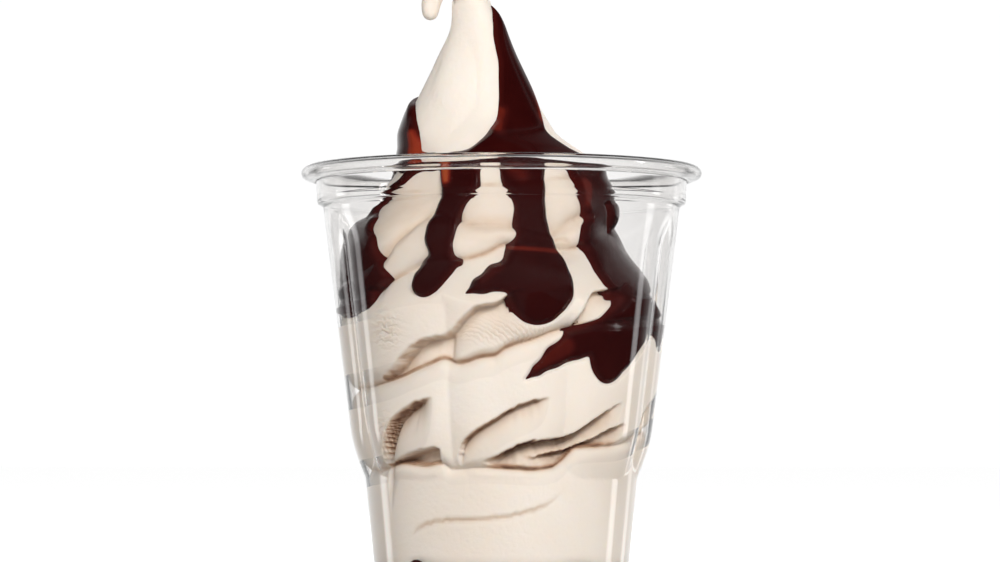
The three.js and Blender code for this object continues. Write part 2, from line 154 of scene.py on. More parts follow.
# the band, and the rim that is rolled outwards and back until it nearly meets the band again
SHELL += [
    (42.25, 95.6), (42.6, 96.0), (43.3, 96.35), (43.7, 96.9), (43.75, 98.2), (43.8, 100.0),
    (43.85, 101.4), (43.9, 102.4),
    (44.05, 103.3), (44.5, 104.05), (45.2, 104.5), (46.0, 104.45), (46.55, 104.0), (46.6, 103.4),
    (46.2, 102.95), (45.4, 102.65),
    (44.7, 102.4), (44.35, 102.2), (44.25, 101.9), (44.45, 101.7), (45.3, 101.95), (46.3, 102.25),
    (47.05, 102.7), (47.4, 103.4),
    (47.35, 104.15), (46.9, 104.85), (46.1, 105.3), (45.2, 105.4), (44.3, 105.15), (43.55, 104.6),
    (43.15, 103.7), (43.0, 102.4),
    (42.95, 100.0), (42.9, 98.0), (42.8, 97.0), (42.35, 96.55), (41.75, 96.3), (41.4, 95.6),
]
INSIDE_START = len(SHELL)
SHELL += [(None, z) for z in np.arange(95.0, 85.9, -1.0)]
SHELL += [(None, float(z)) for z in (84, 79, 74, 69, 64, 59, 54, 50, 47)]
SHELL += [(None, z) for z in np.arange(44.5, 30.9, -0.5)]
SHELL += [(None, float(z)) for z in (30, 28, 24, 19, 14, 9, 6.5)]
SHELL += [(27.9, 4.6), (27.0, 3.6), (25.6, 3.2), (22.0, 3.1), (12.0, 3.1), (0.0, 3.1)]


def on_shell(phi, at):
    """Points of the cup's shell, one ring for each station."""
    row = np.rint(at * (len(SHELL) - 1)).astype(int)
    heights = np.array([s[1] for s in SHELL])[row]
    plain = np.array([-1.0 if s[0] is None else s[0] for s in SHELL])[row]
    wall = cup_outside(phi, heights) - np.where(row >= INSIDE_START, WALL, 0.0)
    radius = np.where(plain >= 0.0, plain, wall)
    a = np.radians(phi)
    return np.stack([radius * np.sin(a), -radius * np.cos(a), heights], -1)


def clear_plastic():
    """Clear plastic that lets the lamps' light through to what is in the cup."""
    mat = bpy.data.materials.new("clear_plastic")
    mat.use_nodes = True
    nodes, links = mat.node_tree.nodes, mat.node_tree.links
    nodes.clear()
    out = nodes.new("ShaderNodeOutputMaterial")
    shell = nodes.new("ShaderNodeBsdfPrincipled")
    shell.inputs["Base Color"].default_value = (0.985, 0.975, 0.967, 1.0)
    shell.inputs["Roughness"].default_value = 0.03
    shell.inputs["IOR"].default_value = 1.5
    shell.inputs["Transmission Weight"].default_value = 1.0
    see = nodes.new("ShaderNodeBsdfTransparent")
    see.inputs["Color"].default_value = (0.98, 0.98, 0.98, 1.0)
    path = nodes.new("ShaderNodeLightPath")
    lighting = nodes.new("ShaderNodeMath")
    lighting.operation = "MAXIMUM"
    links.new(path.outputs["Is Shadow Ray"], lighting.inputs[0])
    links.new(path.outputs["Is Diffuse Ray"], lighting.inputs[1])
    mix = nodes.new("ShaderNodeMixShader")
    links.new(lighting.outputs[0], mix.inputs[0])
    links.new(shell.outputs[0], mix.inputs[1])
    links.new(see.outputs[0], mix.inputs[2])
    links.new(mix.outputs[0], out.inputs["Surface"])
    return mat


cup = wound_piece("clear_cup", 288, len(SHELL) - 1, on_shell)
cup.data.materials.append(clear_plastic())
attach(cup, "root")
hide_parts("cup")

# ---------------------------------------------------------------------------------------------
# Soft serve: vanilla ice cream pressed from a star nozzle in a rising coil. It fills the cup and
# is flattened against the wall; above, it stands free and is drawn off to a tip that curls over.
# ---------------------------------------------------------------------------------------------
# the coil about its own leaning axis: (height, radius)
BODY = [
    (0, 38.0),
    (40, 38.6),
    (50, 39.0),
    (60, 39.2),
    (68, 38.7),
    (75, 35.9),
    (80, 33.7),
    (83, 32.5),
    (86, 31.5),
    (90, 29.8),
    (97, 27.2),
    (104, 24.4),
    (109, 21.4),
    (114, 18.0),
    (121, 14.0),
    (130.6, 9.3),
    (137.7, 6.3),
    (144.8, 4.5),
]
# how far that axis stands off to the right: (height, shift)
LEAN = [
    (0, 0.0),
    (69, 0.0),
    (75, -1.4),
    (80, -2.8),
    (86, -4.4),
    (90, -4.2),
    (94, -2.8),
    (100, -1.6),
    (104, -1.8),
    (109, -3.8),
    (114, -6.0),
    (121, -6.0),
    (130.6, -6.0),
    (137.7, -5.7),
    (144.8, -7.0),
]
# seams between the turns of the coil: (angle, height), each running on into the next one up
SEAMS = [
    [
        (-180, 32), (-100, 33), (-74, 33.8), (-56, 34.7), (-46, 35.5), (-34, 34.9), (-25.4, 35.5),
        (-21.5, 34.1), (-10, 34.6), (5, 34.3), (12, 34), (22, 34.6), (27, 36.4), (32, 39),
        (52, 39.7), (62, 40.8), (110, 46), (180, 49),
    ],
    [
        (-180, 49), (-120, 51), (-88, 52.3), (-51, 54.2), (-42, 55.3), (-34.4, 56.8), (-28.7, 58),
        (-22.4, 59.3), (-16, 58.2), (-7, 59.6), (-2.6, 59.9), (1.6, 61.6), (12.7, 64), (21, 65.8),
        (60, 68.5), (120, 70.5), (180, 71.5),
    ],
    [
        (-180, 71.5), (-100, 73), (-60, 74.4), (-48.5, 75.3), (-44, 77.3), (-36.8, 79), (-23, 81.4),
        (-11, 81.9), (0, 83.3), (11, 85.5), (22, 85.2), (35, 84.4), (60, 88), (120, 93), (180, 94),
    ],
    [(-180, 94), (-90, 96), (0, 99.5), (60, 102.5), (120, 104.5), (180, 105.5)],
]
# depth and width of the cut along each seam
SEAM_CUT = [(2.2, 1.2), (3.0, 1.4), (2.2, 2.0), (0.8, 2.2)]
# what fills the cup reaches this far into its wall, so that no air gap shows
REACH_INTO_WALL = 0.1
# how deep the sauce beds into the ice cream along the wall
SAUCE_BED = 1.3
# widest radius that the sauce's outline is measured on
SAUCE_SPAN = 37.0


def seam(k, phi):
    """Height of seam k at an angle from the front."""
    return follow(SEAMS[k], wrap(phi))


# furrows under the lips: line of the lip, depth, reach below it, seam they end at, tail, head
FURROWS = [
    (
        [
            (-55.1, 35.4), (-51.8, 40.1), (-49.1, 43), (-45.8, 45.4), (-40.1, 47.5), (-34.1, 49.4),
            (-25.7, 50.8),
        ],
        4.2, 5.0, None, 0.35, 0.02,
    ),
    (
        [
            (-58, 35.3), (-51, 35.8), (-45.2, 36.8), (-37.1, 38.2), (-31.1, 38.9), (-25.2, 39.2),
        ],
        5.5, 6.0, 0, 0.05, 0.15,
    ),
    (
        [
            (-17.3, 35.4), (-16.4, 38.8), (-14, 41), (-8, 43.7), (-3.5, 45.2), (4.3, 48.1),
            (10.6, 49.6), (18.7, 50.6),
        ],
        3.3, 3.2, None, 0.25, 0.02,
    ),
    (
        [
            (-10.1, 35.8), (-2.6, 37.1), (4.3, 39.1), (9.7, 40.4), (18.1, 41), (25, 41.5),
            (29.5, 42.5), (34.3, 44.3), (40.3, 46.6), (45.4, 48.2), (51.5, 49.9),
        ],
        5.0, 3.4, 0, 0.2, 0.2,
    ),
    (
        [
            (2, 37.0), (5, 37.7), (11.5, 37.1), (18.7, 37.9), (26.8, 38.6), (32.2, 39.9),
            (38.2, 41.2), (44.5, 43), (50.5, 44.2), (55, 44.8),
        ],
        4.8, 3.0, 0, 0.15, 0.4,
    ),
    (
        [
            (-53, 53.6), (-50.9, 54.8), (-42.5, 57.7), (-38, 60.1), (-33.8, 62.2), (-29.3, 63.7),
            (-23.9, 64.4), (-19.5, 64.7), (-15.5, 65),
        ],
        4.6, 8.0, 1, 0.1, 0.1,
    ),
    (
        [
            (-24, 62.6), (-22.1, 64.2), (-18.2, 65.6), (-14.6, 68), (-11.3, 69.8), (-7.7, 71.2),
            (-2, 71.8), (0.7, 72.4), (4.6, 74), (12.7, 75.8),
        ],
        4.0, 5.5, 1, 0.25, 0.1,
    ),
    (
        [
            (19, 64.4), (25, 66.3), (28.5, 68.8), (30.9, 71.3), (33, 73), (37.5, 74.7),
            (44.4, 75.3), (56, 77.5),
        ],
        3.4, 4.5, 1, 0.2, 0.1,
    ),
    (
        [
            (-44, 18.6), (-37.7, 21.2), (-27.2, 22.7), (-13.4, 23), (-0.5, 23.5), (7.9, 24.4),
            (16.3, 25.7), (21.7, 27.1), (25.3, 28.9), (30, 31.5),
        ],
        0.9, 0.8, None, 0.3, 0.1,
    ),
]
# soft creases, where one swell of the last turn rolls over the next: line, depth, width above, below
CREASES = [
    (
        [
            (-100, 76), (-60, 78.5), (-47, 82), (-41.9, 84.4), (-38.6, 86.6), (-34.4, 88.6),
            (-28.4, 91.9), (-20, 92.8), (-12, 91), (-1, 89.8), (12, 89.6), (24, 88.4), (33, 88.2),
            (42, 90.8), (60, 95), (100, 99),
        ],
        2.0, 2.6, 0.9,
    ),
    ([(100, 80), (150, 84), (205, 88), (260, 93)], 2.0, 2.6, 0.9),
    ([(95, 91), (140, 97), (180, 101)], 1.6, 2.4, 0.9),
    ([(26, 84.6), (31, 86.2), (36, 86.8), (42, 85.4), (46, 83)], 1.2, 1.0, 0.8),
]
# two kinds of furrow go on round the sides and the back
for j in range(6):
    for k, first, high, depth, reach in ((0, 70, 13, 2.6, 2.2), (1, 62, 11, 3.6, 7.0)):
        start = first + (35 + k) * j
        base = float(seam(k, start))
        line = []
        for g in (0.0, 0.08, 0.3, 0.6, 1.0):
            angle = start + 33.0 * g
            line.append((angle, base + 0.6 + high * g**0.42 + (float(seam(k, angle)) - base) * 0.35 * g))
        FURROWS.append((line, depth, reach, k if k else None, 0.3, 0.1))


# over this height the lip of a furrow turns in
LIP_ROUND = 0.45


def lip(line, angle):
    """Height of a furrow's lip, which is a little ragged."""
    ragged = 0.06 * np.sin(np.radians(71 * angle + 40 * line[0][1]))
    ragged = ragged + 0.04 * np.sin(np.radians(118 * angle + 90))
    return follow(line, angle) + ragged * (1 + np.sin(np.radians(9 * angle)))


def furrow_depth(phi, z, furrow):
    """Depth that one furrow cuts at a place: steep at its lip, then fading downwards."""
    line, depth, reach, stop, tail, head = furrow
    first, last = line[0][0], line[-1][0]
    angle = wrap(phi - first) + first
    t = (angle - first) / (last - first)
    below = lip(line, angle) - z
    share = ease(0.0, head, t) * (1.0 - ease(1.0 - tail, 1.0, t)) * (t > 0) * (t < 1)
    share = share * np.exp(-((np.maximum(below, 0.0) / reach) ** 1.5))
    share = share * ease(-0.3 * LIP_ROUND, LIP_ROUND, below)
    if stop is not None:
        share = share * ease(-0.2, 1.0, z - seam(stop, phi))
    return depth * share


def crease_depth(phi, z, crease):
    """Depth that one soft crease cuts at a place."""
    line, depth, over, under = crease
    first, last = line[0][0], line[-1][0]
    middle = (first + last) / 2.0
    angle = wrap(phi - middle) + middle
    above = z - follow(line, angle)
    share = ease(first, first + 8.0, angle) * (1.0 - ease(last - 8.0, last, angle))
    return depth * share * np.exp(-np.where(above > 0, above / over, -above / under))


def folds(phi, z):
    """Depth of everything that is cut into the smooth coil, in millimetres."""
    cut = np.zeros(np.broadcast(phi, z).shape)
    for k, (depth, width) in enumerate(SEAM_CUT):
        above = z - seam(k, phi)
        cut = np.maximum(cut, depth * np.exp(-np.where(above > 0, above / (width * 0.7), -above / width)))
    for furrow in FURROWS:
        cut = np.maximum(cut, furrow_depth(phi, z, furrow))
    for crease in CREASES:
        cut = np.maximum(cut, crease_depth(phi, z, crease))
    return cut * (1 - ease(106, 112, z))


# where the sauce runs: (angle, height, half width)
RUNS = [
    [
        (-44, 105.5, 2.2), (-48.8, 104.3, 1.8), (-54.5, 101.2, 1.3), (-66.8, 98.5, 1.3),
        (-74, 95, 1.4), (-71, 92, 2.4),
    ],
    [
        (-19.5, 102.6, 4.6), (-18.6, 101.6, 4.8), (-17.6, 99.4, 4.5), (-18.6, 95.8, 3.5),
        (-19.1, 92.9, 3.2), (-18.5, 89.9, 3.6), (-18.2, 87.4, 3.5), (-17.6, 84.8, 2.8),
        (-17.9, 82.4, 2.4), (-19.1, 80.6, 3), (-22.4, 78.8, 3.4), (-26, 76.7, 3.3),
        (-27.2, 75.8, 2.6),
    ],
    [(-18.2, 81.4, 1.9), (-11.6, 81.2, 0.7)],
    [
        (17, 106, 5.0), (16, 104.3, 5.0), (14.8, 101.3, 5.0), (17.2, 98.2, 4.0), (19.6, 93.5, 3.5),
        (22.6, 88.9, 3.9), (22.9, 85.7, 4.4), (22.6, 83, 5.6), (19.6, 79.9, 6.8), (16.6, 76.6, 7.4),
        (13.3, 73.1, 6.3), (11.2, 70.4, 3.4),
    ],
    [(13, 79.4, 3.2), (2.8, 77.5, 3.1), (-5, 75.7, 1.9), (-10.7, 74, 0.4)],
    [
        (54.7, 75.4, 4.2), (58.5, 72.1, 5.1), (55.4, 68, 6.9), (46.9, 63.7, 7.3), (42.7, 59.6, 5.9),
        (41.8, 56.5, 2.7),
    ],
    [(38.2, 64.7, 3.7), (28.3, 62.5, 3.4), (19.3, 59.6, 2.5), (13, 56.6, 1.3), (8.8, 54.6, 0.4)],
    [(59, 73.4, 3.4), (72, 69.6, 4.2), (80, 67.6, 3.4), (80, 64.4, 2.6)],
]
# four shorter runs go down the back
for j in range(4):
    turn = 118 + 42 * j
    low = 62 if j % 2 else 76
    upper = [(turn, 107, 5.0), (turn + 3, 97, 4.0), (turn + 2, 86, 4.2)]
    RUNS.append(upper + [(turn - 4, low + 6, 5.6), (turn - 8, low, 2.6)])
# the sheet round the shoulder that the upper runs start from
SHEET = []
for j in range(17):
    turn = -60 + 24 * j
    height = 105.5 + 0.4 * math.sin(math.radians(2.1 * turn))
    SHEET.append((turn, height, 2.0 + 0.2 * math.cos(math.radians(3.2 * turn))))
RUNS.append(SHEET)
# broader falls of sauce: (height, left edge, right edge)
FALLS = [
    [
        (105.5, -19, 70), (107.8, -12, 66), (109.3, -6, 61), (112.3, 6.7, 58), (115.7, 16.3, 61),
        (119.9, 20.8, 67), (125, 24.7, 74), (130.9, 29.8, 78), (135.5, 29, 80), (139.6, 36, 80),
        (143.6, 60, 72),
    ],
    [
        (105.5, -100, -46), (109.7, -104, -44.6), (112.1, -104, -44), (116.2, -104, -53),
        (119.5, -104, -67), (121, -100, -80), (122.4, -92, -90),
    ],
    [
        (69.4, -80, -68), (71.2, -88, -53), (73.4, -92, -49.4), (75.1, -96, -50),
        (76.1, -98, -46.4), (78.7, -100, -43.1), (80.8, -101, -44.9), (84.5, -102, -47.9),
        (87.2, -102, -50), (89.9, -100, -57), (92.5, -86, -60), (93.5, -80, -66),
    ],
    [
        (74.2, 45, 74), (76.6, 42.7, 84), (79.3, 43, 92), (82, 45.1, 96), (84.5, 47.2, 98),
        (87.4, 45.4, 98), (89.6, 46.3, 98), (92.2, 50.5, 96), (94.9, 47.8, 96), (97, 45.4, 96),
        (99.1, 44.5, 96), (101.5, 44.8, 97), (103.3, 43, 98), (106, 34, 100),
    ],
]
# a gap in the broad fall on the right
GAP_RUN = [(70.3, 95.8, 0.7), (71.2, 92.9, 1.0), (74.2, 90.2, 0.6)]


def run_inside(phi, z, run):
    """How far inside each stretch of a run a place lies, in millimetres, and outside below 0."""
    span = np.minimum(follow(BODY, z), SAUCE_SPAN)
    for (p0, z0, w0), (p1, z1, w1) in zip(run, run[1:]):
        ax = np.radians(wrap(phi - p0)) * span
        bx = math.radians(p1 - p0) * span
        az, bz = z - z0, z1 - z0
        t = np.clip((ax * bx + az * bz) / (bx * bx + bz * bz), 0.0, 1.0)
        yield w0 + (w1 - w0) * t - np.hypot(ax - bx * t, az - bz * t)


def inside_sauce(phi, z):
    """How far inside the sauce's outline a place on the ice cream lies, in millimetres."""
    span = np.minimum(follow(BODY, z), SAUCE_SPAN)
    total = np.full(np.broadcast(phi, z).shape, 1e-30)
    soft = 0.5
    for run in RUNS:
        for inside in run_inside(phi, z, run):
            total = total + np.exp(np.clip(inside / soft, -60, 60))
    for fall in FALLS:
        height = sorted(fall)
        left = follow([(h[0], h[1]) for h in height], z)
        right = follow([(h[0], h[2]) for h in height], z)
        middle, half = (left + right) / 2, (right - left) / 2
        inside = 0.85 * np.radians(half - np.abs(wrap(phi - middle))) * span
        inside = np.minimum(inside, np.minimum(z - height[0][0] + 0.3, height[-1][0] + 0.3 - z))
        total = total + np.exp(np.clip(inside / soft, -60, 60))
    inside = np.log(total) * soft - 0.25
    for gap in run_inside(phi, z, GAP_RUN):
        inside = np.minimum(inside, -gap)
    return inside


# shallow grooves that run up the drawn-out peak: (height, angle) along each, depth, width
GROOVES = [
    ([(109, -26), (112.6, -16), (116, -6), (119.5, 0), (128, 2), (138, -30)], 0.55, 1.3),
    ([(111, -18), (114, -22), (117, -29), (123.8, -56), (134, -66)], 0.45, 1.5),
    ([(106, 150), (116, 165), (128, 190), (140, 215)], 0.6, 1.8),
    ([(106, 235), (118, 225), (132, 240)], 0.5, 1.8),
]


def ice_radius(phi, z, open_share=1.0):
    """Radius of the coil about its own axis. open_share below 1 fills part of every fold."""
    r = follow(BODY, z)
    for k, swell in enumerate((0.9, 1.4, 0.6)):
        low, high = seam(k, phi), seam(k + 1, phi)
        f = np.clip((z - low) / (high - low), 0.0, 1.0)
        r = r + swell * np.sin(np.pi * f**0.7) ** 1.2
    # slanted waves left by the nozzle's points
    r = r + 0.5 * ease(84, 90, z) * (1 - ease(104, 112, z)) * np.sin(np.radians(wrap(phi) * 8 + z * 9))
    # shoulder of the last turn, behind on the right
    r = r + 3.0 * bell(z, 107, 3.5) * bell(wrap(phi - 115), 0, 45)
    r = r * (1 + 0.05 * ease(108, 118, z) * np.cos(np.radians(3 * (wrap(phi) + 1.5 * z))))
    for line, depth, width in GROOVES:
        off = wrap(phi - follow(line, z)) * np.radians(r)
        share = ease(line[0][0], line[0][0] + 5, z) * (1 - ease(line[-1][0] - 6, line[-1][0], z))
        r = r - depth * share * np.exp(-np.where(off > 0, off / width, -off / (2.5 * width)))
    # pressed in under the sauce on the left shoulder
    r = r - 1.8 * bell(z, 109, 6.5) * bell(wrap(phi + 95), 0, 42)
    # flattened where it meets the wall, and pressed in under sauce that meets the wall
    bed = SAUCE_BED * ease(-0.8, 0.8, inside_sauce(phi, z)) * ease(50, 54, z)
    wall = cup_outside(phi, np.minimum(z, FLUTED_TOP)) - WALL + REACH_INTO_WALL - bed
    wall = wall - follow(LEAN, z) * np.sin(np.radians(phi))
    soft = 0.3
    pressed = -np.logaddexp(-r / soft, -wall / soft) * soft
    r = np.where(z < 96, pressed, r)
    return r - folds(phi, z) * open_share


# the tip past the top of the cone: centre x, height, radius, turn of the ring
HOOK = [
    (-7.0, 144.8, 4.5, 8),
    (-8.2, 148.0, 4.1, 35),
    (-10.0, 149.7, 3.7, 65),
    (-12.3, 150.1, 3.3, 100),
    (-14.6, 148.9, 2.9, 135),
    (-16.2, 146.2, 2.5, 163),
    (-16.8, 143.4, 2.2, 176),
    (-16.9, 141.6, 1.8, 180),
    (-16.9, 140.6, 1.0, 180),
    (-16.9, 140.3, 0.0, 180),
]
HOOK_FROM = 144.8


def on_ice(phi, rise, lift=0.0, open_share=1.0):
    """Points on the ice cream. Up to HOOK_FROM rise is the height; past it, it goes up by 1 for
    each ring of the tip."""
    a = np.radians(phi)
    z = np.minimum(rise, HOOK_FROM)
    r = ice_radius(phi, z, open_share) + lift
    body = np.stack([follow(LEAN, z) + r * np.sin(a), -r * np.cos(a), z], -1)
    ring = np.maximum(rise - HOOK_FROM, 0.0)
    steps = range(len(HOOK))
    x, h, radius, turn = (follow([(i, HOOK[i][c]) for i in steps], ring) for c in range(4))
    radius = radius + lift * (radius > 0.2)
    turn = np.radians(turn)
    side = radius * np.sin(a)
    tip = np.stack([x + side * np.cos(turn), -radius * np.cos(a), h + side * np.sin(turn)], -1)
    return np.where((rise > HOOK_FROM)[:, None], tip, body)


POOL_LEVEL = 9.2


def pool_top(phi, share):
    """Height of the lower sauce layer's top, which climbs the wall in low tongues."""
    wave = (
        4.2 * bell(wrap(phi + 41), 0, 9)
        + 3.2 * bell(wrap(phi - 37), 0, 14)
        + 2.6 * bell(wrap(phi - 112), 0, 16)
        + 3.4 * bell(wrap(phi + 150), 0, 18)
        + 1.8 * bell(wrap(phi + 95), 0, 12)
    )
    return POOL_LEVEL + wave * share * share


# rows of the ice cream's mesh: closer where the folds are
RISES = np.concatenate(
    [
        np.linspace(14.5, 32, 30, endpoint=False),
        np.linspace(32, 52, 62, endpoint=False),
        np.linspace(52, 88, 100, endpoint=False),
        np.linspace(88, 112, 34, endpoint=False),
        np.linspace(112, 144.8, 24, endpoint=False),
        np.linspace(144.8, 144.8 + len(HOOK) - 1, 30),
    ]
)
# rows of the underside, which lies on the lower sauce
UNDER_ROWS = 8
ICE_STEPS = len(RISES) + UNDER_ROWS - 1


def on_soft_serve(phi, at):
    """Points of the ice cream: the underside from its middle out, then the coil and the tip."""
    row = np.rint(at * ICE_STEPS).astype(int)
    share = np.clip(row / (UNDER_ROWS - 1), 0.0, 1.0)
    z = pool_top(phi, share) - 0.1
    r = share * (cup_outside(phi, z) - WALL + REACH_INTO_WALL)
    a = np.radians(phi)
    under = np.stack([r * np.sin(a), -r * np.cos(a), z], -1)
    body = on_ice(phi, RISES[np.maximum(row - UNDER_ROWS, 0)])
    return np.where((row < UNDER_ROWS)[:, None], under, body)


def mark_rises(at):
    """Height of each row of the ice cream's mesh, for its marks; 0 on the underside."""
    row = np.rint(at * ICE_STEPS).astype(int)
    return np.where(row < UNDER_ROWS, 0.0, RISES[np.maximum(row - UNDER_ROWS, 0)])


# painted shade of each furrow above: line under the lip, wash below it, line along the seam
PAINTED_SHADES = [(0.5, 0.42, 0), (0.1, 0.32, 0.5), (0.5, 0.3, 0), (0.4, 0.6, 0.7), (0.45, 0.55, 0.35)]
PAINTED_SHADES += [(0.05, 0.34, 0.5), (0.08, 0.25, 0.55), (0.1, 0.25, 0.4), (0.25, 0.06, 0)]


def stain(phi, at):
    """Painted shade, darkest where a fold lies in deep shade: hard under the lips, fading downwards,
    fine along the seams and soft along the creases; the last turns are a little darker too."""
    z = mark_rises(at)
    # painted shade: the last turns, high under the rim, are a little darker, most on the left
    dark = (0.10 + 0.06 * bell(wrap(phi + 40), 0, 20)) * bell(z, 94, 9)
    for k, (line, depth, reach, stop, tail, head) in enumerate(FURROWS):
        first, last = line[0][0], line[-1][0]
        angle = wrap(phi - first) + first
        t = (angle - first) / (last - first)
        below = lip(line, angle) - z
        share = ease(0.0, max(head, 0.1), t) * (1.0 - ease(1.0 - tail * 0.8, 1.0, t)) * (t > 0) * (t < 1)
        wash = np.where(below > 0, np.exp(-np.maximum(below, 0.0) / 2.8), 0.0)
        hard, soft, base = PAINTED_SHADES[k] if k < len(PAINTED_SHADES) else (0.3, 0.35, 0.4)
        amount = share * (hard * bell(below, 0.3, 0.42) + soft * wash)
        if stop is not None:
            amount = amount * ease(-0.6, 0.3, z - seam(stop, phi))
            amount = amount + share * base * bell(z - seam(stop, phi), 0.3, 0.6) * (below > 0)
        dark = np.maximum(dark, amount)
    for k, (weight, thin) in enumerate(((0.3, 0.5), (0.4, 0.5), (0.45, 0.6), (0.3, 0.6))):
        along = 0.6 + 0.4 * np.sin(np.radians(wrap(phi) * (5 + k) + 40 * k))
        dark = np.maximum(dark, weight * along * bell(z - seam(k, phi), 0.0, thin))
    for crease in CREASES:
        dark = np.maximum(dark, 0.32 * crease_depth(phi, z, crease) / crease[1])
        dark = np.maximum(dark, 0.24 * crease_depth(phi, z, (crease[0], 1.0, 2.6, 3.4)))
    return dark


# where the nozzle's points left fine teeth: angle, height, half width, half height
TEETH = [
    (-44.5, 66.2, 6.0, 4.0), (-50, 41, 4.5, 5.0), (2, 65.2, 13, 2.2), (22, 84.0, 12, 1.2),
    (118, 60, 14, 5), (-150, 55, 16, 5),
]


def combed(phi, at):
    """Where the fine teeth show, from 0 to 1."""
    z = mark_rises(at)
    share = np.zeros(len(phi))
    for middle, height, half, high in TEETH:
        share = np.maximum(share, bell(wrap(phi - middle), 0.0, half) * bell(z, height, high))
    return share


def frozen_vanilla():
    """Pale cream with a faint grain, with brown shade painted into the folds, and toothed in places."""
    mat = bpy.data.materials.new("frozen_vanilla")
    mat.use_nodes = True
    nodes, links = mat.node_tree.nodes, mat.node_tree.links
    cream = nodes["Principled BSDF"]
    cream.inputs["IOR"].default_value = 1.35
    cream.inputs["Subsurface Weight"].default_value = 0.25
    cream.inputs["Subsurface Radius"].default_value = (1.0, 0.7, 0.45)
    cream.inputs["Subsurface Scale"].default_value = 0.0022
    place = nodes.new("ShaderNodeTexCoord")
    patch = nodes.new("ShaderNodeTexNoise")
    patch.inputs["Scale"].default_value = 38.0
    patch.inputs["Detail"].default_value = 3.0
    tone = nodes.new("ShaderNodeValToRGB")
    tone.color_ramp.elements[0].position = 0.3
    tone.color_ramp.elements[0].color = (0.80, 0.705, 0.61, 1.0)
    tone.color_ramp.elements[1].position = 0.7
    tone.color_ramp.elements[1].color = (0.86, 0.785, 0.70, 1.0)
    links.new(place.outputs["Object"], patch.inputs["Vector"])
    links.new(patch.outputs[0], tone.inputs[0])
    # fine slanted teeth, drawn only where the mark says so
    teeth = nodes.new("ShaderNodeTexWave")
    teeth.bands_direction = "DIAGONAL"
    teeth.inputs["Scale"].default_value = 430.0
    teeth.inputs["Distortion"].default_value = 5.0
    teeth.inputs["Detail"].default_value = 2.0
    teeth.inputs["Detail Scale"].default_value = 2.0
    links.new(place.outputs["Object"], teeth.inputs["Vector"])
    comb = nodes.new("ShaderNodeAttribute")
    comb.attribute_name = "combed"
    bite = nodes.new("ShaderNodeMath")
    bite.operation = "MULTIPLY"
    links.new(teeth.outputs["Fac"], bite.inputs[0])
    links.new(comb.outputs["Fac"], bite.inputs[1])
    # painted brown shade in the folds, a little broken up
    mark = nodes.new("ShaderNodeAttribute")
    mark.attribute_name = "stain"
    spots = nodes.new("ShaderNodeTexNoise")
    spots.inputs["Scale"].default_value = 420.0
    spots.inputs["Detail"].default_value = 3.0
    links.new(place.outputs["Object"], spots.inputs["Vector"])
    broken = nodes.new("ShaderNodeMapRange")
    broken.inputs["From Min"].default_value = 0.3
    broken.inputs["From Max"].default_value = 0.7
    broken.inputs["To Min"].default_value = 0.8
    broken.inputs["To Max"].default_value = 1.2
    links.new(spots.outputs[0], broken.inputs["Value"])
    deep = nodes.new("ShaderNodeMath")
    deep.operation = "MULTIPLY"
    links.new(mark.outputs["Fac"], deep.inputs[0])
    links.new(broken.outputs[0], deep.inputs[1])
    # painted shade: the teeth darken the colour a little too, on top of the painted shade in the folds
    both = nodes.new("ShaderNodeMath")
    both.operation = "MULTIPLY_ADD"
    both.inputs[1].default_value = 0.14
    links.new(bite.outputs[0], both.inputs[0])
    links.new(deep.outputs[0], both.inputs[2])
    brown = nodes.new("ShaderNodeValToRGB")
    brown.color_ramp.elements[0].position = 0.0
    brown.color_ramp.elements[0].color = (1.0, 1.0, 1.0, 1.0)
    brown.color_ramp.elements[1].position = 1.0
    brown.color_ramp.elements[1].color = (0.10, 0.045, 0.028, 1.0)
    browns = ((0.25, (0.86, 0.77, 0.69)), (0.5, (0.58, 0.42, 0.32)), (0.75, (0.28, 0.16, 0.11)))
    for spot, colour in browns:
        brown.color_ramp.elements.new(spot).color = (*colour, 1.0)
    links.new(both.outputs[0], brown.inputs[0])
    stained = nodes.new("ShaderNodeMix")
    stained.data_type = "RGBA"
    stained.blend_type = "MULTIPLY"
    stained.inputs[0].default_value = 1.0
    links.new(tone.outputs[0], stained.inputs[6])
    links.new(brown.outputs[0], stained.inputs[7])
    links.new(stained.outputs[2], cream.inputs["Base Color"])
    grain = nodes.new("ShaderNodeTexNoise")
    grain.inputs["Scale"].default_value = 900.0
    grain.inputs["Detail"].default_value = 4.0
    links.new(place.outputs["Object"], grain.inputs["Vector"])
    bump = nodes.new("ShaderNodeBump")
    bump.inputs["Strength"].default_value = 0.25
    bump.inputs["Distance"].default_value = 0.0004
    links.new(grain.outputs[0], bump.inputs["Height"])
    notch = nodes.new("ShaderNodeBump")
    notch.inputs["Strength"].default_value = 0.45
    notch.inputs["Distance"].default_value = 0.0006
    links.new(bite.outputs[0], notch.inputs["Height"])
    links.new(bump.outputs["Normal"], notch.inputs["Normal"])
    links.new(notch.outputs["Normal"], cream.inputs["Normal"])
    rough = nodes.new("ShaderNodeMapRange")
    rough.inputs["To Min"].default_value = 0.38
    rough.inputs["To Max"].default_value = 0.55
    links.new(patch.outputs[0], rough.inputs["Value"])
    links.new(rough.outputs[0], cream.inputs["Roughness"])
    return mat


soft_serve = wound_piece("vanilla_coil", 344, ICE_STEPS, on_soft_serve, stain=stain, combed=combed)
soft_serve.data.materials.append(frozen_vanilla())
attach(soft_serve, "root")
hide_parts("soft_serve")

# ---------------------------------------------------------------------------------------------
# Chocolate sauce: thick glossy sauce poured round the peak. It runs down the folds in broad
# tongues with rounded edges, thins at the edges, and gathers on the ledges of the coil.
# ---------------------------------------------------------------------------------------------
SAUCE_THICK = 1.5
SAUCE_EDGE = 1.5
SAUCE_RISES = np.concatenate([np.linspace(51.0, 112, 196, endpoint=False), np.linspace(112, 144.8, 76)])


def sauce_rise(at):
    """Height of the sauce mesh's row at a share of the way up."""
    return SAUCE_RISES[np.rint(at * (len(SAUCE_RISES) - 1)).astype(int)]


